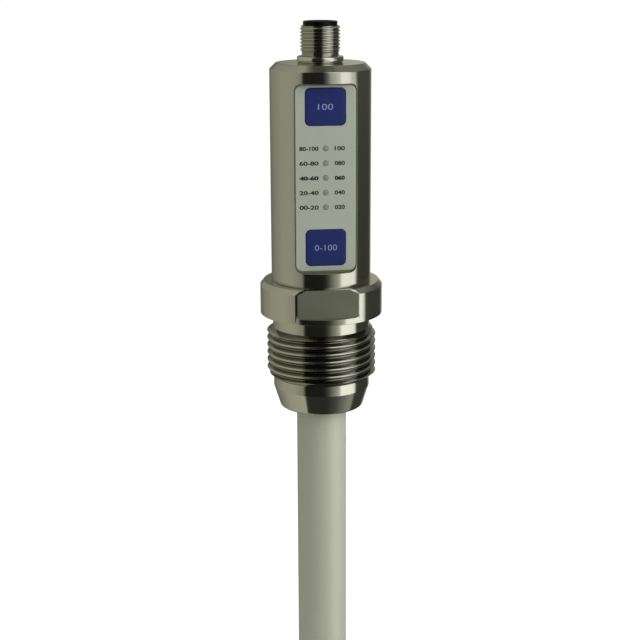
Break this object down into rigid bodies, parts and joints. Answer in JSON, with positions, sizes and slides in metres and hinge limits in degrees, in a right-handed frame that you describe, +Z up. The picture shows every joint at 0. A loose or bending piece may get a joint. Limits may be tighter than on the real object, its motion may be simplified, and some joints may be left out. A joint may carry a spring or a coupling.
{
  "type": "capacitive level sensor",
  "caption": "Screw-in capacitive level sensor: steel head with two keys and lamps, round plug inlet on top, pipe-threaded fitting below and a plastic-covered rod probe.",
  "frame": {"origin": "on the axis, at the underside of the spanner collar, which seats on the vessel's socket", "axes": "+Z up the axis to the plug inlet, -Y out of the keypad, X across the two spanner flats' width"},
  "size_m": [0.037, 0.037, 0.2365],
  "materials": {
    "fitting_steel": "fine turned stainless steel, light satin",
    "housing_steel": "fine ground stainless steel, light satin",
    "inlet_nickel": "bright nickel over turned metal",
    "small_steel": "plain zinc-grey steel",
    "panel_print": "fine matt film, light grey-green",
    "key_blue": "matt moulded plastic, dark blue",
    "guide_plastic": "clear to milky moulded plastic",
    "rod_plastic": "smooth satin off-white plastic",
    "carrier_black": "fine matt moulded plastic, black",
    "contact_gold": "bright gold plating",
    "seal_rubber": "matt black rubber",
    "board_green": "green solder resist",
    "component_black": "matt moulded component body",
    "plunger_plastic": "smooth pale plastic",
    "lamp_clear": "clear resin",
    "bush_plastic": "natural machined plastic",
    "holder_plastic": "dark grey moulded plastic",
    "shield_tin": "bright tinned sheet",
    "tag_brass": "plain brass sheet"
  },
  "bodies": {
    "base": {"process_fitting": "fitting_steel", "housing": "housing_steel", "keypad_panel": "panel_print", "upper_switch": "component_black", "lower_switch": "component_black", "light_guide_1": "guide_plastic", "light_guide_2": "guide_plastic", "light_guide_3": "guide_plastic", "light_guide_4": "guide_plastic", "light_guide_5": "guide_plastic", "lamp_1": "lamp_clear", "lamp_2": "lamp_clear", "lamp_3": "lamp_clear", "lamp_4": "lamp_clear", "lamp_5": "lamp_clear", "keypad_board": "board_green", "main_board": "board_green", "connector_board": "board_green", "board_header": "component_black", "processor": "component_black", "shield_can": "shield_tin", "board_holder": "holder_plastic", "inlet_shell": "inlet_nickel", "inlet_nut": "small_steel", "inlet_seal": "seal_rubber", "contact_carrier": "carrier_black", "contact_1": "contact_gold", "contact_2": "contact_gold", "contact_3": "contact_gold", "contact_4": "contact_gold", "contact_5": "contact_gold", "fitting_seal": "seal_rubber", "upper_rod_seal": "seal_rubber", "lower_rod_seal": "seal_rubber", "rod_sheath": "rod_plastic", "electrode": "small_steel", "insulating_bush": "bush_plastic", "clamp_nut": "small_steel", "stud_washer": "small_steel", "electrode_tag": "tag_brass", "stud_nut": "small_steel"},
    "upper_key": {"upper_key": "key_blue", "upper_plunger": "plunger_plastic"},
    "lower_key": {"lower_key": "key_blue", "lower_plunger": "plunger_plastic"}
  },
  "joints": [
    {"name": "upper_key_press", "type": "slide", "parent": "base", "child": "upper_key", "axis": [0, 1, 0], "range_m": [0, 0.0003], "stiffness_N_per_m": 1000},
    {"name": "lower_key_press", "type": "slide", "parent": "base", "child": "lower_key", "axis": [0, 1, 0], "range_m": [0, 0.0003], "stiffness_N_per_m": 1000}
  ]
}
